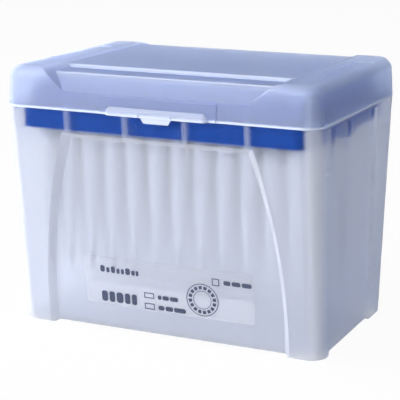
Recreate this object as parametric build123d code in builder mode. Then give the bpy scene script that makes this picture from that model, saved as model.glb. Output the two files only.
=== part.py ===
"""Rack box of 96 one-millilitre pipette tips, with a hinged lid.

The tub (base) stands on four corner feet. A tray with 96 wells sits on the
ledges inside the tub, and the tips hang in its wells by their collars. The lid
snaps on to two hinge pins at the back and is held by a tongue at the front.

Units are millimetres. +X runs along the twelve columns of tips, -Y is the
front, +Z is up. The origin is on the table, under the middle of the whole box.
"""
import os

from build123d import *

# ---------------------------------------------------------------- driving sizes
# Rack grid: the laboratory standard of 9 mm
PITCH = 9.0
COLUMNS = 12
ROWS = 8

# Tub
RIM_WIDTH = 123.2
RIM_DEPTH = 87.1
FOOT_WIDTH = 122.4
FOOT_DEPTH = 68.5
RIM_Z = 84.2            # parting line between tub and lid
RIM_RADIUS = 7.2        # upright corners at the rim
FOOT_RADIUS = 6.4       # upright corners at the feet
WALL = 1.3
FLOOR = 1.5
FOOT_HEIGHT = 0.8       # feet stand this far below the floor
FOOT_ROUND = 1.3

# Recessed panel, front and back, with bell-shaped sides
RECESS_DEPTH = 2.5
RECESS_STEP = 2.5       # width of the sloping step at each side
RECESS_TOP_Z = RIM_Z - 8.9
RECESS_TOP_HALF = 36.2
RECESS_MID_HALF = 43.9
RECESS_FOOT_HALF = 47.5
RECESS_TOP_SLOPE = 2.2  # height of the sloping step along the top

# Recessed panel, left and right
SIDE_RECESS_WIDTH = 47.0
SIDE_RECESS_DEPTH = 1.6
SIDE_RECESS_Y = -4.0    # its middle is this far in front of the tub's
FLANGE = 1.2            # full-size band left under the rim at the sides

# Rim: shelf and upstanding lip that the lid closes round
LIP_HEIGHT = 2.5
LIP_THICK = 0.9
LIP_CLEARANCE = 0.3
SHELF = 1.5
RIM_GAP = 0.15          # seam between tub and lid

# Upright ribs inside the tub that keep the tray in place
RIB_WIDTH = 2.2
RIB_INNER_X = 11.75
RIB_OUTER_X = 35.3
RIB_CLEARANCE = 0.2

# Lid
LID_HEIGHT = 14.8
LID_OVERHANG = 0.2      # the lid's lower edge stands this far outside the rim
LID_RADIUS = 7.6
LID_DRAFT = 0.9         # each wall leans in by this much from rim to top
LID_WALL = 1.2
LID_EDGE = 4.5
SCOOP_LOW_Z = RIM_Z + 7.0   # crease on the front wall
SCOOP_LOW_HALF = 35.7
SCOOP_FLARE = 1.28      # how far the scoop's sides spread for each mm of height
SCOOP_ROUND = 7.0       # where the scoop's sides run out on top of the corner blocks
LEDGE_Y = 35.5          # front edge of the ledge before the top panel
LEDGE_DROP = 1.9        # ledge below the top of the corner blocks
PANEL_FRONT_Y = 24.5
PANEL_BACK_Y = 36.8
PANEL_DROP = 0.5        # top panel below the top of the corner blocks
PANEL_ROUND = 0.8       # rounded front edges of the panel and the ledge
RAIL_NOTCH_X = 51.5
RAIL_NOTCH_DEPTH = 0.5
RAIL_NOTCH_FRONT = -12.7
RAIL_NOTCH_BACK = 22.5

# Latch on the lid: pad, finger lip on it and the tongue below
LATCH_X = 1.7           # the latch sits a little to the right of the middle
PAD_HALF = 22.8
PAD_HEIGHT = 6.6
PAD_PROUD = 0.3
GRIP_HALF = 19.8
GRIP_HEIGHT = 2.9
GRIP_REACH = 2.0
GRIP_ROUND = 1.95       # rounded ends of the finger lip
GRIP_SLOPE = 1.2        # its top edge slopes off by this much
TONGUE_TOP = 12.0
TONGUE_FOOT = 9.4
TONGUE_DROP = 2.15
TONGUE_THICK = 0.9
TONGUE_CLEARANCE = 0.15
TONGUE_EDGE = 0.35      # chamfer round its foot
RELIEF_RADIUS = 0.35    # small holes where the tongue meets the finger lip
RELIEF_Z = 0.75

# Small arches on the tub's front, one each side of the tongue
ARCH_X = 9.15
ARCH_Z = RIM_Z - 3.7
ARCH_WIDTH = 2.1
ARCH_HEIGHT = 2.9
ARCH_LINE = 0.55
ARCH_PROUD = 0.3

# Hinge: pins on the tub, snap-on knuckles on the lid
HINGE_X = 36.0
HINGE_OFFSET = 1.9      # axis behind the lid's lower edge
PIN_RADIUS = 1.0
PIN_CLEARANCE = 0.05
KNUCKLE_RADIUS = 1.8
KNUCKLE_WIDTH = 9.0
KNUCKLE_GAP = 0.3
KNUCKLE_MOUTH = 1.7
EAR_WIDTH = 2.5
EAR_REACH = 2.15        # rear corner of an ear; the open lid rests on it
EAR_STOP = 1.1
EAR_ROOT_DROP = 7.0

# Tray
SEAT_Z = RIM_Z - 7.6    # ledge that the tray's skirt stands on
SKIRT_WIDTH = 112.4
SKIRT_DEPTH = 81.0
SKIRT_TOP_Z = RIM_Z + 0.4
SKIRT_RADIUS = 5.0
BLOCK_MARGIN = 5.0      # deck beyond the centres of the outer wells
BLOCK_RADIUS = 4.0
DECK_Z = RIM_Z + 6.8
TRAY_WALL = 1.3
WELL_RADIUS = 3.45
TAB_WIDTH = 24.0
TAB_DROP = 2.0

# Tips: round on the real one, drawn with flats round the same circle so that
# ninety-six of them stay light. The wells match.
TIP_SIDES = 8
TIP_LENGTH = 71.5
COLLAR_RADIUS = 4.0
COLLAR_HEIGHT = 3.5
NECK_RADIUS = 3.3
WAIST_RADIUS = 2.6
WAIST_BELOW = 46.0      # waist below the tip's top
END_RADIUS = 0.75
SOCKET_RADIUS = 3.05
SOCKET_DEPTH = 7.0
END_BORE = 0.4

# Label on the front panel
LABEL_WIDTH = 68.6
LABEL_HEIGHT = 19.3
LABEL_THICK = 0.12
LABEL_RADIUS = 1.5
LABEL_X = 1.0
LABEL_Z = 19.3

# ------------------------------------------------------------------ worked out
TOP_Z = RIM_Z + LID_HEIGHT
LID_RIM_Z = RIM_Z + RIM_GAP
LID_WIDTH = RIM_WIDTH + 2 * LID_OVERHANG
LID_DEPTH = RIM_DEPTH + 2 * LID_OVERHANG
PANEL_Z = TOP_Z - PANEL_DROP
LEDGE_Z = TOP_Z - LEDGE_DROP
BLOCK_WIDTH = (COLUMNS - 1) * PITCH + 2 * BLOCK_MARGIN
BLOCK_DEPTH = (ROWS - 1) * PITCH + 2 * BLOCK_MARGIN
HINGE_Y = LID_DEPTH / 2 + HINGE_OFFSET
HINGE_BACK = HINGE_Y + EAR_REACH
GRIP_FRONT = LID_DEPTH / 2 + GRIP_REACH
# The box is drawn about its own middle and shifted to centre its whole depth
SHIFT = Location((0, (GRIP_FRONT - HINGE_BACK) / 2, 0))

LIP_WIDTH = LID_WIDTH - 2 * (LID_WALL + LIP_CLEARANCE)
LIP_DEPTH = LID_DEPTH - 2 * (LID_WALL + LIP_CLEARANCE)
LIP_RADIUS = LID_RADIUS - LID_WALL - LIP_CLEARANCE
FRONT_SLOPE = (RIM_DEPTH - FOOT_DEPTH) / 2 / RIM_Z
SIDE_SLOPE = (RIM_WIDTH - FOOT_WIDTH) / 2 / RIM_Z

# Plane of the drafted front wall: its Y axis runs up the wall from the foot
FRONT_WALL = Plane(
    origin=(0, -FOOT_DEPTH / 2, 0),
    x_dir=(1, 0, 0),
    z_dir=(0, -1, -FRONT_SLOPE),
)


def tapered_block(z_low, z_high, inset):
    """The tub's tapering block between two heights, smaller all round by inset."""
    with BuildPart() as block:
        for z in (z_low, z_high):
            share = z / RIM_Z
            with BuildSketch(Plane.XY.offset(z)):
                RectangleRounded(
                    FOOT_WIDTH + (RIM_WIDTH - FOOT_WIDTH) * share - 2 * inset,
                    FOOT_DEPTH + (RIM_DEPTH - FOOT_DEPTH) * share - 2 * inset,
                    FOOT_RADIUS + (RIM_RADIUS - FOOT_RADIUS) * share - inset * 0.9,
                )
        loft(ruled=True)
    return block.part


def bell(depth, top_z, spread, rise):
    """Outline of the bell-shaped panel on the wall's plane, pushed in by depth."""
    with BuildSketch(FRONT_WALL.offset(-depth)) as outline:
        with BuildLine():
            top = (RECESS_TOP_HALF + spread, top_z + rise)
            middle = (RECESS_MID_HALF + spread, RECESS_TOP_Z * 0.61)
            foot = (RECESS_FOOT_HALF + spread, -2 * FOOT_ROUND)
            right = ThreePointArc(top, middle, foot)
            Line(foot, (-foot[0], foot[1]))
            mirror(right, about=Plane.YZ)
            Line((-top[0], top[1]), top)
        make_face()
    return outline.sketch


def bell_block(near, far, top_z, sloping_top):
    """Solid behind the bell outline, from depth near to depth far."""
    sections = []
    for depth in (near, far):
        share = 0.5 - (depth if sloping_top else depth - WALL) / RECESS_DEPTH
        rise = RECESS_TOP_SLOPE * share if sloping_top else 0
        sections.append(bell(depth, top_z, RECESS_STEP * share, rise))
    with BuildPart() as block:
        add(sections)
        loft(ruled=True)
    return block.part


def side_recess(grow):
    """Straight recess down the right wall; grow makes the shape inside it."""
    inner = RIM_WIDTH / 2 - SIDE_RECESS_DEPTH - grow
    top = RIM_Z - FLANGE + grow
    with BuildPart() as block:
        with BuildSketch(Plane.XZ.offset(-SIDE_RECESS_Y)):
            with BuildLine():
                Polyline(
                    (inner, top),
                    (inner - top * SIDE_SLOPE, -2 * FOOT_ROUND),
                    (RIM_WIDTH, -2 * FOOT_ROUND),
                    (RIM_WIDTH, top),
                    close=True,
                )
            make_face()
        extrude(amount=SIDE_RECESS_WIDTH / 2 + grow, both=True)
    return block.part


# ------------------------------------------------------------------------- base
# Inside of the tub: a tapering block, less the backs of the recessed panels
tub_floor = FOOT_HEIGHT + FLOOR
with BuildPart() as cavity:
    add(tapered_block(tub_floor, RIM_Z - SHELF, WALL))
    panel_back = bell_block(0, RECESS_DEPTH + WALL, SEAT_Z, sloping_top=False)
    add(panel_back, mode=Mode.SUBTRACT)
    add(mirror(panel_back, about=Plane.XZ, mode=Mode.PRIVATE), mode=Mode.SUBTRACT)
    side_back = side_recess(WALL)
    add(side_back, mode=Mode.SUBTRACT)
    add(mirror(side_back, about=Plane.YZ, mode=Mode.PRIVATE), mode=Mode.SUBTRACT)

with BuildPart() as base:
    add(tapered_block(0, RIM_Z, 0))
    fillet(base.edges().group_by(Axis.Z)[0], FOOT_ROUND)
    # recessed panels on the four walls
    panel = bell_block(-1, RECESS_DEPTH, RECESS_TOP_Z, sloping_top=True)
    add(panel, mode=Mode.SUBTRACT)
    add(mirror(panel, about=Plane.XZ, mode=Mode.PRIVATE), mode=Mode.SUBTRACT)
    side = side_recess(0)
    add(side, mode=Mode.SUBTRACT)
    add(mirror(side, about=Plane.YZ, mode=Mode.PRIVATE), mode=Mode.SUBTRACT)
    # floor raised between the feet
    with BuildSketch(Plane.XY):
        Rectangle(2 * RECESS_FOOT_HALF, RIM_DEPTH)
        with Locations((0, SIDE_RECESS_Y)):
            Rectangle(RIM_WIDTH, SIDE_RECESS_WIDTH)
    extrude(amount=FOOT_HEIGHT, mode=Mode.SUBTRACT)
    # lip for the lid, then the inside
    with BuildSketch(Plane.XY.offset(RIM_Z - SHELF)):
        RectangleRounded(LIP_WIDTH, LIP_DEPTH, LIP_RADIUS)
    extrude(amount=SHELF + LIP_HEIGHT)
    with BuildSketch(Plane.XY.offset(RIM_Z - SHELF)):
        RectangleRounded(LIP_WIDTH - 2 * LIP_THICK, LIP_DEPTH - 2 * LIP_THICK, LIP_RADIUS - LIP_THICK)
    extrude(amount=SHELF + LIP_HEIGHT, mode=Mode.SUBTRACT)
    add(cavity.part, mode=Mode.SUBTRACT)
    # ribs beside the tray's skirt, front and back
    rib_reach = RIM_DEPTH / 2 - WALL - SKIRT_DEPTH / 2 - RIB_CLEARANCE
    for rib_x in (-RIB_OUTER_X, -RIB_INNER_X, RIB_INNER_X, RIB_OUTER_X):
        for side_y in (-1, 1):
            with BuildSketch(Plane.XY.offset(SEAT_Z)):
                rib_y = SKIRT_DEPTH / 2 + RIB_CLEARANCE + rib_reach / 2
                with Locations((rib_x, side_y * rib_y)):
                    Rectangle(RIB_WIDTH, rib_reach)
            extrude(amount=RIM_Z - SHELF - SEAT_Z)
    # one tall rib in the middle of each end wall
    end_rib = SKIRT_WIDTH / 2 + RIB_CLEARANCE
    end_wall = RIM_WIDTH / 2 - SIDE_RECESS_DEPTH - WALL / 2
    for side_x in (-1, 1):
        with BuildSketch(Plane.XY.offset(tub_floor)):
            with Locations((side_x * (end_rib + end_wall) / 2, SIDE_RECESS_Y)):
                Rectangle(end_wall - end_rib, RIB_WIDTH)
        extrude(amount=RIM_Z - SHELF - tub_floor)
    # small arches either side of the latch's tongue
    with BuildSketch(FRONT_WALL):
        for side_x in (-1, 1):
            with Locations((LATCH_X + side_x * ARCH_X, ARCH_Z)):
                RectangleRounded(ARCH_WIDTH, ARCH_HEIGHT, ARCH_WIDTH * 0.4)
                with Locations((0, -ARCH_LINE)):
                    Rectangle(ARCH_WIDTH - 2 * ARCH_LINE, ARCH_HEIGHT - ARCH_LINE, mode=Mode.SUBTRACT)
    extrude(amount=ARCH_PROUD)
    # hinge ears and pins
    for hinge_x in (-HINGE_X, HINGE_X):
        ear_gap = KNUCKLE_WIDTH / 2 + KNUCKLE_GAP
        for ear_x in (hinge_x - ear_gap - EAR_WIDTH, hinge_x + ear_gap):
            with BuildSketch(Plane.YZ.offset(ear_x)):
                with BuildLine():
                    Polyline(
                        (RIM_DEPTH / 2 - WALL / 2, RIM_Z - RIM_GAP),
                        (HINGE_Y, RIM_Z - RIM_GAP),
                        (HINGE_Y + EAR_REACH, RIM_Z + EAR_STOP),
                        (HINGE_Y + EAR_REACH, RIM_Z - KNUCKLE_RADIUS),
                        (RIM_DEPTH / 2 - WALL, RIM_Z - EAR_ROOT_DROP),
                        close=True,
                    )
                make_face()
                with Locations((HINGE_Y, RIM_Z)):
                    Circle(KNUCKLE_RADIUS)
            extrude(amount=EAR_WIDTH)
        with BuildSketch(Plane.YZ.offset(hinge_x - ear_gap - EAR_WIDTH / 2)):
            with Locations((HINGE_Y, RIM_Z)):
                Circle(PIN_RADIUS)
        extrude(amount=2 * ear_gap + EAR_WIDTH)
base.part.label = "base"


# -------------------------------------------------------------------------- lid
def scoops(grow):
    """What is cut away above the lid's top panel, ledge and finger scoops."""
    high = TOP_Z + 5
    reach = SCOOP_LOW_HALF + (TOP_Z - SCOOP_LOW_Z) * SCOOP_FLARE
    with BuildPart() as block:
        with BuildSketch(Plane.XZ) as across:
            with BuildLine():
                Polyline(
                    (-SCOOP_LOW_HALF, SCOOP_LOW_Z),
                    (SCOOP_LOW_HALF, SCOOP_LOW_Z),
                    (reach, TOP_Z),
                    (RIM_WIDTH, TOP_Z),
                    (RIM_WIDTH, high),
                    (-RIM_WIDTH, high),
                    (-RIM_WIDTH, TOP_Z),
                    (-reach, TOP_Z),
                    close=True,
                )
            make_face()
            if grow:
                offset(amount=grow, kind=Kind.INTERSECTION)
            else:
                tops = across.vertices().sort_by(lambda corner: abs(abs(corner.X) - reach))[:2]
                fillet(tops, SCOOP_ROUND)
        extrude(amount=RIM_DEPTH, both=True)
        with BuildSketch(Plane.YZ) as profile:
            with BuildLine():
                slope = (LEDGE_Z - SCOOP_LOW_Z) / (RIM_DEPTH / 2 - LEDGE_Y)
                back_rise = (PANEL_Z - SCOOP_LOW_Z) / (RIM_DEPTH / 2 - PANEL_BACK_Y)
                Polyline(
                    (-RIM_DEPTH / 2 - 3, SCOOP_LOW_Z - 3 * slope),
                    (-LEDGE_Y, LEDGE_Z),
                    (-PANEL_FRONT_Y, LEDGE_Z),
                    (-PANEL_FRONT_Y, PANEL_Z),
                    (PANEL_BACK_Y, PANEL_Z),
                    (RIM_DEPTH / 2 + 3, SCOOP_LOW_Z - 3 * back_rise),
                    (RIM_DEPTH / 2 + 3, high),
                    (-RIM_DEPTH / 2 - 3, high),
                    close=True,
                )
            make_face()
            if grow:
                offset(amount=grow, kind=Kind.INTERSECTION)
            else:
                ledge_front = profile.vertices().sort_by_distance((-LEDGE_Y, LEDGE_Z, 0))[0]
                panel_front = profile.vertices().sort_by_distance((-PANEL_FRONT_Y, PANEL_Z, 0))[0]
                fillet([ledge_front, panel_front], PANEL_ROUND)
        extrude(amount=RIM_WIDTH, both=True, mode=Mode.INTERSECT)
    return block.part


def lid_block(z_low, z_high, inset):
    """The lid's block between two heights, smaller all round by inset."""
    with BuildPart() as block:
        for z in (z_low, z_high):
            lean = LID_DRAFT * (z - RIM_Z) / LID_HEIGHT + inset
            with BuildSketch(Plane.XY.offset(z)):
                RectangleRounded(LID_WIDTH - 2 * lean, LID_DEPTH - 2 * lean, LID_RADIUS - lean)
        loft(ruled=True)
        fillet(block.edges().group_by(Axis.Z)[-1], LID_EDGE - inset)
    return block.part


with BuildPart() as lid_inside:
    add(lid_block(RIM_Z, TOP_Z - LID_WALL, LID_WALL))
    add(scoops(LID_WALL), mode=Mode.SUBTRACT)

# pad and finger lip, each with its edges sloped off
with BuildPart() as pad:
    with BuildSketch(Plane.XZ.offset(LID_DEPTH / 2 - LID_WALL / 2)):
        with Locations((LATCH_X, LID_RIM_Z + PAD_HEIGHT / 2)):
            Rectangle(2 * PAD_HALF, PAD_HEIGHT)
    extrude(amount=LID_WALL / 2 + PAD_PROUD)
    front_edges = pad.faces().sort_by(Axis.Y)[0].edges().sort_by(Axis.Z)
    chamfer(front_edges[1:], PAD_PROUD)

with BuildPart() as grip:
    with BuildSketch(Plane.XY.offset(LID_RIM_Z)):
        with Locations((LATCH_X, -LID_DEPTH / 2)):
            RectangleRounded(2 * GRIP_HALF, 2 * GRIP_REACH, GRIP_ROUND)
    extrude(amount=GRIP_HEIGHT)
    chamfer(grip.faces().sort_by(Axis.Z)[-1].edges(), GRIP_SLOPE)

with BuildPart() as tongue:
    with BuildSketch(Plane.XZ.offset(LID_DEPTH / 2 + TONGUE_CLEARANCE)):
        with BuildLine():
            Polyline(
                (LATCH_X - TONGUE_TOP / 2, LID_RIM_Z + GRIP_HEIGHT / 2),
                (LATCH_X - TONGUE_TOP / 2, LID_RIM_Z),
                (LATCH_X - TONGUE_FOOT / 2, LID_RIM_Z - TONGUE_DROP),
                (LATCH_X + TONGUE_FOOT / 2, LID_RIM_Z - TONGUE_DROP),
                (LATCH_X + TONGUE_TOP / 2, LID_RIM_Z),
                (LATCH_X + TONGUE_TOP / 2, LID_RIM_Z + GRIP_HEIGHT / 2),
                close=True,
            )
        make_face()
    extrude(amount=TONGUE_THICK)
    chamfer(tongue.faces().sort_by(Axis.Y)[0].edges().sort_by(Axis.Z)[0], TONGUE_EDGE)

with BuildPart() as lid:
    add(lid_block(LID_RIM_Z, TOP_Z, 0))
    add(pad.part)
    add(scoops(0), mode=Mode.SUBTRACT)
    add(grip.part)
    add(lid_inside.part, mode=Mode.SUBTRACT)
    # shallow notches in the side rails
    notch_length = RAIL_NOTCH_BACK - RAIL_NOTCH_FRONT
    with BuildSketch(Plane.XY.offset(TOP_Z - RAIL_NOTCH_DEPTH)):
        notch_y = (RAIL_NOTCH_BACK + RAIL_NOTCH_FRONT) / 2
        for side_x in (-1, 1):
            with Locations((side_x * (RAIL_NOTCH_X + RIM_WIDTH / 2) / 2, notch_y)):
                Rectangle(RIM_WIDTH / 2 - RAIL_NOTCH_X, notch_length)
    extrude(amount=LID_HEIGHT, mode=Mode.SUBTRACT)
    # tongue that hangs in front of the tub's wall, with a small hole at each root
    add(tongue.part)
    with BuildSketch(Plane.XZ.offset(LID_DEPTH / 2)):
        with Locations(*[
            (LATCH_X + side_x * (TONGUE_TOP / 2 + RELIEF_RADIUS), LID_RIM_Z + RELIEF_Z)
            for side_x in (-1, 1)
        ]):
            Circle(RELIEF_RADIUS)
    extrude(amount=2 * GRIP_REACH, mode=Mode.SUBTRACT)
    # hinge knuckles, open at the back so that they snap over the pins
    for hinge_x in (-HINGE_X, HINGE_X):
        with BuildSketch(Plane.YZ.offset(hinge_x - KNUCKLE_WIDTH / 2)):
            with Locations((HINGE_Y, RIM_Z)):
                Circle(KNUCKLE_RADIUS)
            with BuildLine():
                Polyline(
                    (LID_DEPTH / 2 - LID_WALL / 2, LID_RIM_Z),
                    (HINGE_Y, LID_RIM_Z),
                    (HINGE_Y, RIM_Z + KNUCKLE_RADIUS),
                    (LID_DEPTH / 2 - LID_WALL / 2, RIM_Z + 2 * KNUCKLE_RADIUS),
                    close=True,
                )
            make_face()
            with Locations((HINGE_Y, RIM_Z)):
                Circle(PIN_RADIUS + PIN_CLEARANCE, mode=Mode.SUBTRACT)
                with Locations(Rotation(0, 0, -45)):
                    Rectangle(
                        2 * KNUCKLE_RADIUS,
                        KNUCKLE_MOUTH,
                        align=(Align.MIN, Align.CENTER),
                        mode=Mode.SUBTRACT,
                    )
        extrude(amount=KNUCKLE_WIDTH)
lid.part.label = "lid"


# ------------------------------------------------------------------------- tray
with BuildPart() as tray:
    with BuildSketch(Plane.XY.offset(SEAT_Z)):
        RectangleRounded(SKIRT_WIDTH, SKIRT_DEPTH, SKIRT_RADIUS)
    extrude(amount=SKIRT_TOP_Z - SEAT_Z)
    with BuildSketch(Plane.XY.offset(SKIRT_TOP_Z)):
        RectangleRounded(BLOCK_WIDTH, BLOCK_DEPTH, BLOCK_RADIUS)
    extrude(amount=DECK_Z - SKIRT_TOP_Z)
    # hollow underneath
    with BuildSketch(Plane.XY.offset(SEAT_Z)):
        RectangleRounded(SKIRT_WIDTH - 2 * TRAY_WALL, SKIRT_DEPTH - 2 * TRAY_WALL, SKIRT_RADIUS - TRAY_WALL)
    extrude(amount=SKIRT_TOP_Z - TRAY_WALL - SEAT_Z, mode=Mode.SUBTRACT)
    with BuildSketch(Plane.XY.offset(SEAT_Z)):
        RectangleRounded(BLOCK_WIDTH - 2 * TRAY_WALL, BLOCK_DEPTH - 2 * TRAY_WALL, BLOCK_RADIUS - TRAY_WALL)
    extrude(amount=DECK_Z - TRAY_WALL - SEAT_Z, mode=Mode.SUBTRACT)
    # wells
    with BuildSketch(Plane.XY.offset(DECK_Z - TRAY_WALL)):
        with GridLocations(PITCH, PITCH, COLUMNS, ROWS):
            RegularPolygon(WELL_RADIUS, TIP_SIDES, major_radius=False, rotation=180 / TIP_SIDES)
    extrude(amount=TRAY_WALL, mode=Mode.SUBTRACT)
    # rounded tab in the middle of each end of the skirt
    for side_x in (-1, 1):
        with BuildSketch(Plane.YZ.offset(side_x * (SKIRT_WIDTH - TRAY_WALL) / 2)):
            with BuildLine():
                tab = ThreePointArc(
                    (-TAB_WIDTH / 2, SEAT_Z),
                    (0, SEAT_Z - TAB_DROP),
                    (TAB_WIDTH / 2, SEAT_Z),
                )
                Line(tab @ 1, tab @ 0)
            make_face()
        extrude(amount=TRAY_WALL / 2, both=True)
tray.part.label = "tray"


# ------------------------------------------------------------------------- tips
# One tip: conical, hollow, with a collar that rests on the deck round its well
tip_top = DECK_Z + COLLAR_HEIGHT
tip_waist = tip_top - WAIST_BELOW
tip_end = tip_top - TIP_LENGTH
tip_socket = tip_top - SOCKET_DEPTH


def many_sided(profile):
    """Upright solid with flats, whose half width at each height is the profile's."""
    with BuildPart() as slab:
        with BuildSketch(Plane.XZ):
            with BuildLine():
                Polyline(*profile, *[(-x, z) for x, z in reversed(profile)], close=True)
            make_face()
        extrude(amount=PITCH, both=True)
    with BuildPart() as form:
        add(slab.part)
        for turn in range(1, TIP_SIDES // 2):
            add(slab.part.rotate(Axis.Z, turn * 360 / TIP_SIDES), mode=Mode.INTERSECT)
    return form.part


with BuildPart() as tip:
    add(many_sided([
        (COLLAR_RADIUS, tip_top),
        (COLLAR_RADIUS, DECK_Z),
        (NECK_RADIUS, DECK_Z),
        (WAIST_RADIUS, tip_waist),
        (END_RADIUS, tip_end),
    ]))
    bore = many_sided([
        (SOCKET_RADIUS, tip_top),
        (SOCKET_RADIUS, tip_socket),
        (END_BORE, tip_end),
    ])
    add(bore, mode=Mode.SUBTRACT)

tip_columns = []
for column in range(COLUMNS):
    x = (column - (COLUMNS - 1) / 2) * PITCH
    with BuildPart() as tip_column:
        with Locations(Location((x, 0, 0))):
            with GridLocations(PITCH, PITCH, 1, ROWS):
                add(tip.part)
        if column == 0:
            # The back left tip keeps the true round socket, by which a pipette fits
            with Locations((x, (ROWS - 1) / 2 * PITCH, tip_socket)):
                add(many_sided([(SOCKET_RADIUS + 0.1, SOCKET_DEPTH), (SOCKET_RADIUS + 0.1, 0)]))
                Cylinder(
                    SOCKET_RADIUS,
                    SOCKET_DEPTH,
                    align=(Align.CENTER, Align.CENTER, Align.MIN),
                    mode=Mode.SUBTRACT,
                )
    tip_column.part.label = f"tips_column_{column + 1:02d}"
    tip_columns.append(tip_column.part)


# ------------------------------------------------------------------------ label
# Clear film on the front panel
with BuildPart() as label:
    with BuildSketch(FRONT_WALL.offset(-RECESS_DEPTH)):
        with Locations((LABEL_X, LABEL_Z)):
            RectangleRounded(LABEL_WIDTH, LABEL_HEIGHT, LABEL_RADIUS)
    extrude(amount=LABEL_THICK)
label.part.label = "label"

# ----------------------------------------------------------------------- export
os.makedirs("parts", exist_ok=True)
for piece in (base.part, lid.part, tray.part, label.part, *tip_columns):
    export_step(piece.moved(SHIFT), f"parts/{piece.label}.step")
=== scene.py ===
import math

import bmesh
import bpy
from mathutils import Matrix, Vector


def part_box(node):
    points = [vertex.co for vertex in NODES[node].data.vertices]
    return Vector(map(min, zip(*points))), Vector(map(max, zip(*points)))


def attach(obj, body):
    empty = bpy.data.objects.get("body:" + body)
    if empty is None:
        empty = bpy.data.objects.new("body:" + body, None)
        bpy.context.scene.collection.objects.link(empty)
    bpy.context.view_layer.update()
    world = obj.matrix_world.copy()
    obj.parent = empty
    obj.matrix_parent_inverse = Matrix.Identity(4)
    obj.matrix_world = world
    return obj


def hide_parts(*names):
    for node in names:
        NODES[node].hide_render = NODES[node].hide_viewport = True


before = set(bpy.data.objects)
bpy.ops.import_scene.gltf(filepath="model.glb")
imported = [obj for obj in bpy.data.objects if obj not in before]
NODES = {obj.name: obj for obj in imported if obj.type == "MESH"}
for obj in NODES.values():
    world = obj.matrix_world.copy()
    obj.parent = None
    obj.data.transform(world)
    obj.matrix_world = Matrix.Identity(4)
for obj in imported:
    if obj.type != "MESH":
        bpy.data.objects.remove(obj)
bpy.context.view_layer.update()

MM = 0.001


# ------------------------------------------------------------------ camera and studio
# The box stands on a plain white table, seen from the right of its front and a
# little from above. A large soft lamp stands low in front on the left and a small
# one above, so the front and the lid are bright and the right end falls into shade.
VIEW_AZIMUTH = math.radians(24.9)
VIEW_ELEVATION = math.radians(13.65)
VIEW_DISTANCE = 529.1 * MM
VIEW_LENS = 124.6
BOX_RIGHT_OF_MIDDLE = 1.74 * MM
BOX_ABOVE_MIDDLE = 3.47 * MM
BOX_MIDDLE = Vector((0, -1.025, 48.9)) * MM

view_right = Vector((math.cos(VIEW_AZIMUTH), math.sin(VIEW_AZIMUTH), 0))
view_back = Vector((
    math.sin(VIEW_AZIMUTH) * math.cos(VIEW_ELEVATION),
    -math.cos(VIEW_AZIMUTH) * math.cos(VIEW_ELEVATION),
    math.sin(VIEW_ELEVATION),
))
view_up = view_back.cross(view_right)
eye = BOX_MIDDLE + view_back * VIEW_DISTANCE
eye -= view_right * BOX_RIGHT_OF_MIDDLE + view_up * BOX_ABOVE_MIDDLE
camera = bpy.data.objects.new("camera", bpy.data.cameras.new("camera"))
bpy.context.scene.collection.objects.link(camera)
camera.data.lens = VIEW_LENS
camera.data.clip_start = 0.01
camera.matrix_world = Matrix((
    (view_right.x, view_up.x, view_back.x, eye.x),
    (view_right.y, view_up.y, view_back.y, eye.y),
    (view_right.z, view_up.z, view_back.z, eye.z),
    (0, 0, 0, 1),
))
bpy.context.scene.camera = camera
bpy.context.scene.view_settings.view_transform = "Standard"


def colour(hex_value):
    """A linear RGBA colour from an sRGB hex value."""
    channels = [int(hex_value[i:i + 2], 16) / 255 for i in (1, 3, 5)]
    linear = [c / 12.92 if c <= 0.04045 else ((c + 0.055) / 1.055) ** 2.4 for c in channels]
    return (*linear, 1)


def node(tree, kind, links=None, values=None, **settings):
    """One node: links feed its sockets from outputs, values fill them, settings are its own."""
    made = tree.nodes.new("ShaderNode" + kind)
    for name, value in settings.items():
        setattr(made, name, value)
    for socket, value in (values or {}).items():
        made.inputs[socket].default_value = value
    for socket, output in (links or {}).items():
        tree.links.new(output, made.inputs[socket])
    return made


# The room is bright to the front left and dim behind the box and to its right. What
# is seen in or through the plastic is never darker than ROOM_SEEN_THROUGH.
ROOM_BRIGHT_SIDE = (-0.60, -0.78, 0.15)
ROOM_BRIGHT = 0.72
ROOM_DIM = 0.17
ROOM_SEEN_THROUGH = 0.63
world = bpy.data.worlds.new("studio")
world.use_nodes = True
bpy.context.scene.world = world
tree = world.node_tree
tree.nodes.clear()
path = node(tree, "LightPath")
place = node(tree, "TexCoord")
facing = node(
    tree, "VectorMath", {0: place.outputs["Generated"]}, {1: ROOM_BRIGHT_SIDE},
    operation="DOT_PRODUCT",
)
room = node(
    tree, "MapRange", {0: facing.outputs["Value"]},
    {"From Min": -0.2, "From Max": 0.8, "To Min": ROOM_DIM, "To Max": ROOM_BRIGHT},
)
plastic = node(
    tree, "Math", {0: path.outputs["Is Glossy Ray"], 1: path.outputs["Is Transmission Ray"]},
    operation="MAXIMUM",
)
plastic = node(
    tree, "Math", {0: plastic.outputs[0]}, {1: ROOM_SEEN_THROUGH}, operation="MULTIPLY",
)
seen = node(
    tree, "Math", {0: plastic.outputs[0], 1: path.outputs["Is Camera Ray"]},
    operation="MAXIMUM",
)
strength = node(
    tree, "Math", {0: room.outputs[0], 1: seen.outputs[0]}, operation="MAXIMUM",
)
backdrop = node(tree, "Background", {"Strength": strength.outputs[0]}, {"Color": (1, 1, 1, 1)})
node(tree, "OutputWorld", {"Surface": backdrop.outputs[0]})

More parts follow.
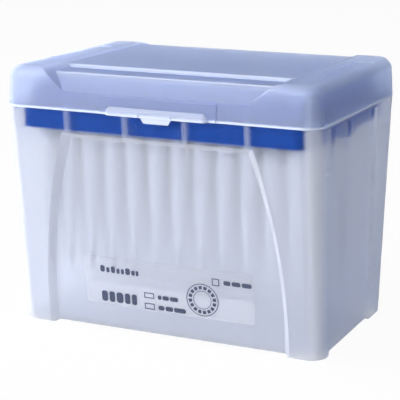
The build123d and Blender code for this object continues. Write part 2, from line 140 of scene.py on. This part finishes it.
# each lamp's place and size in metres and its power in watts
for name, position, size, power in (
    ("key_lamp", (-0.75, -0.95, 0.40), 0.6, 8.4),
    ("top_lamp", (-0.45, -0.23, 0.95), 0.4, 4.2),
):
    lamp = bpy.data.lights.new(name, "AREA")
    lamp.shape = "SQUARE"
    lamp.size = size
    lamp.energy = power
    stand = bpy.data.objects.new(name, lamp)
    stand.location = position
    aim = Vector(position) - Vector((0, 0, 0.05))
    stand.rotation_euler = aim.to_track_quat("Z", "Y").to_euler()
    bpy.context.scene.collection.objects.link(stand)

# The table top glows a little where it is looked at, so that it stays white, and less
# where it is seen through the plastic
TABLE_HALF = 6
TABLE_GLOW = 0.95
TABLE_GLOW_THROUGH_PLASTIC = 0.55
table_mesh = bpy.data.meshes.new("table")
bm = bmesh.new()
bmesh.ops.create_grid(bm, x_segments=1, y_segments=1, size=TABLE_HALF)
bm.to_mesh(table_mesh)
bm.free()
table = bpy.data.objects.new("table", table_mesh)
bpy.context.scene.collection.objects.link(table)
white = bpy.data.materials.new("white_table")
white.use_nodes = True
tree = white.node_tree
tree.nodes.clear()
path = node(tree, "LightPath")
matt = node(tree, "BsdfDiffuse", None, {"Color": colour("#F4F4F5")})
glow = node(tree, "Emission", None, {"Color": (1, 1, 1, 1)})
through = node(
    tree, "Math", {0: path.outputs["Is Transmission Ray"]}, {1: TABLE_GLOW_THROUGH_PLASTIC},
    operation="MULTIPLY",
)
share = node(
    tree, "Math", {0: path.outputs["Is Camera Ray"], 1: through.outputs[0]},
    operation="MAXIMUM",
)
share = node(tree, "Math", {0: share.outputs[0]}, {1: TABLE_GLOW}, operation="MULTIPLY")
both = node(tree, "MixShader", {0: share.outputs[0], 1: matt.outputs[0], 2: glow.outputs[0]})
node(tree, "OutputMaterial", {"Surface": both.outputs[0]})
table_mesh.materials.append(white)


# ------------------------------------------------------------------------------- tub
# The tub is one thin moulding of natural polypropylene. The mould's fine spark
# grain frosts it: what touches the wall shows through, and what stands further
# inside melts into soft streaks.
GRAIN_SPREAD = 0.4
GRAIN_EDGE = 0.03


def frosted_plastic(name, tint, clear_spots, rough_spots, share_rough, clear, grain_mm):
    """Milky clear moulding: between the grain's rough peaks the wall is clearer."""
    made = bpy.data.materials.new(name)
    made.use_nodes = True
    tree = made.node_tree
    shader = tree.nodes["Principled BSDF"]
    shader.inputs["Base Color"].default_value = colour(tint)
    # less than the plastic's own 1.49, because a frosted wall throws back little at a
    # grazing view
    shader.inputs["IOR"].default_value = 1.12
    shader.inputs["Transmission Weight"].default_value = clear
    place = node(tree, "TexCoord")
    grain = node(
        tree, "TexNoise", {"Vector": place.outputs["Object"]},
        {"Scale": 1 / (grain_mm * MM), "Detail": 0},
    )
    middle = 0.5 + (0.5 - share_rough) * GRAIN_SPREAD
    rough = node(tree, "MapRange", {0: grain.outputs["Fac"]}, {
        "From Min": middle - GRAIN_EDGE, "From Max": middle + GRAIN_EDGE,
        "To Min": clear_spots, "To Max": rough_spots,
    })
    tree.links.new(rough.outputs[0], shader.inputs["Roughness"])
    return made


def milky_and_highlit_edges(tree, clear_wall, clear_edge):
    """Where the wall turns or slopes it is seen through its thickness and looks whiter; the whiter
    turns also stand in for the bright lines the light draws there, a painted highlight.
    """
    place = node(tree, "TexCoord")
    size = node(tree, "VectorMath", {0: place.outputs["Normal"]}, operation="ABSOLUTE")
    facing = node(tree, "SeparateXYZ", {0: size.outputs["Vector"]})
    square = node(
        tree, "Math", {0: facing.outputs["X"], 1: facing.outputs["Y"]}, operation="MAXIMUM",
    )
    square = node(
        tree, "Math", {0: square.outputs[0], 1: facing.outputs["Z"]}, operation="MAXIMUM",
    )
    clear = node(tree, "MapRange", {0: square.outputs[0]}, {
        "From Min": 0.90, "From Max": 0.985, "To Min": clear_edge, "To Max": clear_wall,
    })
    at = node(tree, "SeparateXYZ", {0: place.outputs["Object"]})
    return facing, at, clear


# The wall's milkiness hides what stands clear of it, but not the tray's skirt, which
# lies right behind it in the upper part. Below the skirt the front is milkier and the
# ends are clearer: painted light and shade, so the front takes the light as a pale veil
# and the ends, with less light on them, fall darker.
SKIRT_SHOWS_FROM = 70.0 * MM
SKIRT_SHOWS_FULLY = 77.6 * MM
CLEAR_FRONT_PAINTED_LIT = 0.71
CLEAR_ENDS_PAINTED_SHADE = 0.97
tub_plastic = frosted_plastic("moulded_natural_pp_tub", "#EAEEF8", 0.55, 1.0, 0.5, 1.0, 0.2)
tree = tub_plastic.node_tree
facing, at, clear = milky_and_highlit_edges(tree, 1.0, 0.55)
# painted light and shade: a milkier, paler front and clearer, darker ends
painted_light_by_side = node(
    tree, "MapRange", {0: facing.outputs["X"]},
    {"From Min": 0.4, "From Max": 0.9, "To Min": CLEAR_FRONT_PAINTED_LIT, "To Max": CLEAR_ENDS_PAINTED_SHADE},
)
skirt = node(
    tree, "MapRange", {0: at.outputs["Z"], "To Min": painted_light_by_side.outputs[0]},
    {"From Min": SKIRT_SHOWS_FROM, "From Max": SKIRT_SHOWS_FULLY, "To Max": 1.0},
)

# Pale lines on the front: the ribs that hold the tray in place stand behind the wall
# and show their own pale plastic; the recessed panel's upper edge, which slopes between
# its bell-shaped sides, gets a painted highlight for the bright band the light makes there
FRONT_BEFORE_Y = -40.5 * MM
RIB_X = (-35.3, -11.75, 11.75, 35.3)
RIB_HALF = 0.8 * MM
SLOPE_MIDDLE_Z = 74.15 * MM
SLOPE_HALF = 0.75 * MM
SLOPE_REACH = 36.5 * MM
CLEAR_RIBS_AND_HIGHLIGHT = 0.8
front = node(tree, "Math", {0: at.outputs["Y"]}, {1: FRONT_BEFORE_Y}, operation="LESS_THAN")
# painted highlight along the sloped upper edge of the recessed panel
slope_painted_highlight = node(
    tree, "Math", {0: at.outputs["Z"]}, {1: SLOPE_MIDDLE_Z, 2: SLOPE_HALF},
    operation="COMPARE",
)
bell = node(tree, "Math", {0: at.outputs["X"]}, {1: 0, 2: SLOPE_REACH}, operation="COMPARE")
rib_lines_and_highlight = node(tree, "Math", {0: slope_painted_highlight.outputs[0], 1: bell.outputs[0]}, operation="MULTIPLY")
for rib_x in RIB_X:
    rib = node(
        tree, "Math", {0: at.outputs["X"]}, {1: rib_x * MM, 2: RIB_HALF}, operation="COMPARE",
    )
    rib_lines_and_highlight = node(tree, "Math", {0: rib_lines_and_highlight.outputs[0], 1: rib.outputs[0]}, operation="MAXIMUM")
rib_lines_and_highlight = node(tree, "Math", {0: rib_lines_and_highlight.outputs[0], 1: front.outputs[0]}, operation="MULTIPLY")
rib_lines_and_highlight = node(
    tree, "MapRange", {0: rib_lines_and_highlight.outputs[0]}, {"To Min": 1.0, "To Max": CLEAR_RIBS_AND_HIGHLIGHT},
)
for factor in (skirt, rib_lines_and_highlight):
    clear = node(
        tree, "Math", {0: clear.outputs[0], 1: factor.outputs[0]}, operation="MULTIPLY",
    )
tree.links.new(clear.outputs[0], tree.nodes["Principled BSDF"].inputs["Transmission Weight"])
NODES["base"].data.materials.clear()
NODES["base"].data.materials.append(tub_plastic)


# ------------------------------------------------------------------------------- lid
# The lid is the same natural polypropylene, painted a little bluer all over for the
# tray's colour that glows up through it. Its front and back are milkier than its top:
# painted light, so the front takes the light as a pale veil.
LIP_BELOW = 84.9 * MM
LIP_ENDS = 85.3 * MM
TOP_FROM_Z = 95.5 * MM
TOP_EDGES_Y = (-25.6, -36.6)
TOP_EDGE_HALF = 0.45 * MM
TOP_EDGE_REACH = 43.0 * MM    # between the corner blocks
GRIP_BEFORE_Y = -45.2 * MM
lid_plastic = frosted_plastic("moulded_natural_pp_lid", "#E1EAFD", 0.6, 1.0, 0.5, 1.0, 0.2)
tree = lid_plastic.node_tree
facing, at, clear = milky_and_highlit_edges(tree, 0.88, 0.74)
# painted light: front and back milkier and paler than the top and ends
lit_front_veil = node(
    tree, "MapRange", {0: facing.outputs["Y"]},
    {"From Min": 0.6, "From Max": 0.95, "To Min": 1.0, "To Max": 0.88},
)
# Its lower edge is a thick rounded lip that catches the light all round: a painted highlight, whiter
# and less clear there
lip_painted_highlight = node(
    tree, "MapRange", {0: at.outputs["Z"]},
    {"From Min": LIP_BELOW, "From Max": LIP_ENDS, "To Min": 0.1, "To Max": 1.0},
)
# Painted highlights also on the front edges of the top panel and of the ledge before
# it, and on the finger lip of the latch, which stands out from the front wall
top = node(tree, "Math", {0: at.outputs["Z"]}, {1: TOP_FROM_Z}, operation="GREATER_THAN")
reach = node(
    tree, "Math", {0: at.outputs["X"]}, {1: 0, 2: TOP_EDGE_REACH}, operation="COMPARE",
)
top = node(tree, "Math", {0: top.outputs[0], 1: reach.outputs[0]}, operation="MULTIPLY")
grip_painted_highlight = node(tree, "Math", {0: at.outputs["Y"]}, {1: GRIP_BEFORE_Y}, operation="LESS_THAN")
edges = node(tree, "Math", {0: grip_painted_highlight.outputs[0]}, {1: 0.6}, operation="MULTIPLY")
for edge_y in TOP_EDGES_Y:
    edge_painted_highlight = node(
        tree, "Math", {0: at.outputs["Y"]}, {1: edge_y * MM, 2: TOP_EDGE_HALF},
        operation="COMPARE",
    )
    edge_painted_highlight = node(tree, "Math", {0: edge_painted_highlight.outputs[0], 1: top.outputs[0]}, operation="MULTIPLY")
    edges = node(tree, "Math", {0: edges.outputs[0], 1: edge_painted_highlight.outputs[0]}, operation="MAXIMUM")
edges = node(tree, "MapRange", {0: edges.outputs[0]}, {"To Min": 1.0, "To Max": 0.35})
for factor in (lit_front_veil, lip_painted_highlight, edges):
    clear = node(
        tree, "Math", {0: clear.outputs[0], 1: factor.outputs[0]}, operation="MULTIPLY",
    )
tree.links.new(clear.outputs[0], tree.nodes["Principled BSDF"].inputs["Transmission Weight"])
NODES["lid"].data.materials.clear()
NODES["lid"].data.materials.append(lid_plastic)


# ------------------------------------------------------------------------------ tray
# The tray is moulded in solid blue polypropylene. Its satin face has a fine grain,
# and the colour swims a little, as in any large thin moulding.
SWIM_WIDTH = 14 * MM
SWIM_SHARE = 0.06
GRAIN_WIDTH = 0.6 * MM
GRAIN_DEPTH = 0.01 * MM
tray_blue = colour("#184FA2")
tray_plastic = bpy.data.materials.new("moulded_blue_pp")
tray_plastic.use_nodes = True
tree = tray_plastic.node_tree
shader = tree.nodes["Principled BSDF"]
shader.inputs["Roughness"].default_value = 0.5
shader.inputs["IOR"].default_value = 1.25
place = node(tree, "TexCoord")
swim = node(
    tree, "TexNoise", {"Vector": place.outputs["Object"]},
    {"Scale": 1 / SWIM_WIDTH, "Detail": 2},
)
shade = node(tree, "ValToRGB", {"Fac": swim.outputs["Fac"]})
for stop, share in zip(shade.color_ramp.elements, (1 - SWIM_SHARE, 1 + SWIM_SHARE)):
    stop.color = [min(channel * share, 1) for channel in tray_blue[:3]] + [1]
tree.links.new(shade.outputs["Color"], shader.inputs["Base Color"])
grain = node(
    tree, "TexNoise", {"Vector": place.outputs["Object"]},
    {"Scale": 1 / GRAIN_WIDTH, "Detail": 2},
)
bump = node(
    tree, "Bump", {"Height": grain.outputs["Fac"]}, {"Strength": 0.3, "Distance": GRAIN_DEPTH},
)
tree.links.new(bump.outputs["Normal"], shader.inputs["Normal"])
NODES["tray"].data.materials.clear()
NODES["tray"].data.materials.append(tray_plastic)


# ------------------------------------------------------------------------------ tips
# Ninety-six tips hang in the tray by their collars. Each is one clear, slightly
# milky polypropylene moulding: collar, long upper cone, slender lower cone, open
# at both ends.
TIP_WALL = 0.45 * MM
TIP_ROWS = 8
TIP_SIDES = 24
TIP_END_BORE = 0.35 * MM
TIP_SOCKET = 3.1 * MM
TIP_COLLAR_BORED = 3.9 * MM    # the socket follows the outside only below the collar
# outer radius at each distance below the top of the collar, in millimetres
TIP_OUTSIDE = (
    (3.75, 0), (4.0, 0.3), (4.0, 3.3), (3.85, 3.5), (3.3, 3.5), (3.25, 9), (3.1, 16),
    (2.65, 44), (2.5, 47), (1.5, 59), (0.75, 71.5),
)

# The collars stand over the deck and get a painted blue cast for the deck's colour in
# them; the cones below it are paler
tip_plastic = frosted_plastic("moulded_clear_pp_tip", "#FDFDFE", 0.25, 0.5, 0.4, 0.6, 0.2)
tree = tip_plastic.node_tree
shader = tree.nodes["Principled BSDF"]
place = node(tree, "TexCoord")
at = node(tree, "SeparateXYZ", {0: place.outputs["Object"]})
collar = node(
    tree, "MapRange", {0: at.outputs["Z"]}, {"From Min": 88 * MM, "From Max": 91.5 * MM},
)
clear = node(tree, "MapRange", {0: collar.outputs[0]}, {"To Min": 0.08, "To Max": 0.35})
tree.links.new(clear.outputs[0], shader.inputs["Transmission Weight"])
painted_deck_blue = node(tree, "ValToRGB", {"Fac": collar.outputs[0]})
painted_deck_blue.color_ramp.elements[0].color = colour("#FDFDFE")
painted_deck_blue.color_ramp.elements[1].color = colour("#A9BCEB")
tree.links.new(painted_deck_blue.outputs["Color"], shader.inputs["Base Color"])

tip_mesh = bpy.data.meshes.new("one_tip")
bm = bmesh.new()
tip_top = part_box("tips_column_01")[1].z
outside = [Vector((radius * MM, 0, tip_top - below * MM)) for radius, below in TIP_OUTSIDE]
inside = [
    Vector((min(max(point.x - TIP_WALL, TIP_END_BORE), TIP_SOCKET), 0, point.z))
    for point in outside if point.x < TIP_COLLAR_BORED
]
ring = [bm.verts.new(point) for point in outside + inside[::-1]]
edges = [bm.edges.new(pair) for pair in zip(ring, ring[1:] + ring[:1])]
bmesh.ops.spin(
    bm, geom=ring + edges, cent=(0, 0, 0), axis=(0, 0, 1), angle=math.tau,
    steps=TIP_SIDES, use_merge=True,
)
bmesh.ops.recalc_face_normals(bm, faces=bm.faces)
for face in bm.faces:
    face.smooth = True
bm.to_mesh(tip_mesh)
bm.free()

for name in [n for n in NODES if n.startswith("tips_column")]:
    low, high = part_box(name)
    radius = (high.x - low.x) / 2
    pitch = (high.y - low.y - 2 * radius) / (TIP_ROWS - 1)
    bm = bmesh.new()
    for row in range(TIP_ROWS):
        start = len(bm.verts)
        bm.from_mesh(tip_mesh)
        bm.verts.ensure_lookup_table()
        shift = Vector(((low.x + high.x) / 2, low.y + radius + row * pitch, 0))
        bmesh.ops.translate(bm, verts=bm.verts[start:], vec=shift)
    mesh = bpy.data.meshes.new(name + "_tips")
    bm.to_mesh(mesh)
    bm.free()
    mesh.materials.append(tip_plastic)
    column = bpy.data.objects.new(name + "_moulded", mesh)
    bpy.context.scene.collection.objects.link(column)
    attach(column, "tub")
    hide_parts(name)


# ----------------------------------------------------------------------------- label
# The label is a clear film with a faint milky cast, stuck to the front panel.
film = bpy.data.materials.new("clear_label_film")
film.use_nodes = True
shader = film.node_tree.nodes["Principled BSDF"]
shader.inputs["Base Color"].default_value = colour("#F6F7FB")
shader.inputs["Roughness"].default_value = 0.2
shader.inputs["Alpha"].default_value = 0.12
NODES["label"].data.materials.clear()
NODES["label"].data.materials.append(film)


# ------------------------------------------------------------------------ label print
# The label is printed in dark ink: a headline, a bold line below it, two small
# boxes with a line beside each, a round stamp and a small square with its line.
# Words are drawn as plain bars; nothing can be read.
INK_THICK = 0.02 * MM
FILM_GAP = 0.03 * MM
# left, right, foot and top of each bar, along the label and up its face
PRINT_BARS = (
    (-26.8, -24.9, 23.0, 25.6), (-24.3, -22.9, 23.0, 25.0), (-22.3, -20.6, 23.0, 25.6),
    (-20.0, -18.7, 23.0, 25.0), (-18.1, -16.9, 23.0, 25.0), (-16.3, -14.4, 23.0, 25.6),
    (-13.8, -12.4, 23.0, 25.0), (-12.0, -10.9, 23.0, 25.0),
    (-26.9, -24.4, 11.2, 15.4), (-23.7, -21.4, 11.2, 15.4), (-20.7, -17.9, 11.2, 15.4),
    (-17.2, -15.0, 11.2, 15.4), (-14.3, -12.2, 11.2, 15.4),
    (-3.4, -1.9, 14.8, 16.5), (-1.5, 1.1, 14.8, 16.5), (1.5, 4.8, 14.8, 16.5),
    (-3.4, -0.9, 10.6, 12.4), (-0.5, 2.6, 10.6, 12.4), (3.0, 7.8, 10.6, 12.4),
    (23.4, 26.1, 24.1, 25.8), (26.6, 30.0, 24.1, 25.8), (30.5, 34.3, 24.1, 25.8),
)
BAR_CORNER = 0.25    # of the bar's shorter side
# the same for frames, drawn as outlines
PRINT_FRAMES = ((-9.0, -4.9, 14.8, 17.0), (-9.0, -4.9, 10.4, 12.8), (18.8, 21.7, 23.4, 26.2))
FRAME_LINE = 0.35
STAMP_MIDDLE = (14.7, 17.1)
STAMP_RINGS = ((6.4, 6.1), (3.6, 3.4))
STAMP_MARKS = (4.2, 5.5)
STAMP_SIDES = 48

ink = bpy.data.materials.new("dark_printing_ink")
ink.use_nodes = True
tree = ink.node_tree
shader = tree.nodes["Principled BSDF"]
shader.inputs["Roughness"].default_value = 0.6
place = node(tree, "TexCoord")
speck = node(
    tree, "TexNoise", {"Vector": place.outputs["Object"]},
    {"Scale": 1 / (0.5 * MM), "Detail": 2},
)
shade = node(tree, "ValToRGB", {"Fac": speck.outputs["Fac"]})
shade.color_ramp.elements[0].color = colour("#3E4763")
shade.color_ramp.elements[1].color = colour("#56607E")
tree.links.new(shade.outputs["Color"], shader.inputs["Base Color"])
cover = node(tree, "MapRange", {0: speck.outputs["Fac"]}, {"To Min": 0.65, "To Max": 0.9})
tree.links.new(cover.outputs[0], shader.inputs["Alpha"])

# the film's front face, with distances up it counted from the foot of the tub's wall
front = max(
    (face for face in NODES["label"].data.polygons if face.normal.y < -0.9),
    key=lambda face: face.area,
)
face_normal = front.normal.copy()
up_face = Vector((0, 0, 1)) - face_normal * face_normal.z
up_face.normalize()
foot_of_wall = front.center - up_face * (front.center.z / up_face.z)
foot_of_wall.x = 0


def on_label(across, up):
    """A point on the ink's face, from its distances in millimetres."""
    spot = foot_of_wall + Vector((across * MM, 0, 0)) + up_face * up * MM
    return spot + face_normal * (FILM_GAP + INK_THICK)


outlines = []
for left, right, foot, top in PRINT_BARS:
    cut = min(right - left, top - foot) * BAR_CORNER
    outlines.append([
        (left + cut, foot), (right - cut, foot), (right, foot + cut), (right, top - cut),
        (right - cut, top), (left + cut, top), (left, top - cut), (left, foot + cut),
    ])
for left, right, foot, top in PRINT_FRAMES:
    outer = [(left, foot), (right, foot), (right, top), (left, top)]
    left, right, foot, top = left + FRAME_LINE, right - FRAME_LINE, foot + FRAME_LINE, top - FRAME_LINE
    inner = [(left, foot), (right, foot), (right, top), (left, top)]
    for side in range(4):
        after = (side + 1) % 4
        outlines.append([outer[side], outer[after], inner[after], inner[side]])
turns = [math.tau * side / STAMP_SIDES for side in range(STAMP_SIDES + 1)]
for outer, inner in STAMP_RINGS + (STAMP_MARKS,):
    for side, (start, stop) in enumerate(zip(turns, turns[1:])):
        if (outer, inner) == STAMP_MARKS and side % 3 == 2:
            continue
        outlines.append([
            (STAMP_MIDDLE[0] + reach * math.cos(turn), STAMP_MIDDLE[1] + reach * math.sin(turn))
            for reach, turn in ((outer, start), (outer, stop), (inner, stop), (inner, start))
        ])
bm = bmesh.new()
for outline in outlines:
    face = bm.faces.new([bm.verts.new(on_label(across, up)) for across, up in outline])
    made = bmesh.ops.extrude_face_region(bm, geom=[face])
    moved = [item for item in made["geom"] if isinstance(item, bmesh.types.BMVert)]
    bmesh.ops.translate(bm, verts=moved, vec=-face_normal * INK_THICK)
bmesh.ops.recalc_face_normals(bm, faces=bm.faces)
mesh = bpy.data.meshes.new("label_print")
bm.to_mesh(mesh)
bm.free()
mesh.materials.append(ink)
label_print = bpy.data.objects.new("label_print", mesh)
bpy.context.scene.collection.objects.link(label_print)
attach(label_print, "tub")

bpy.context.view_layer.update()
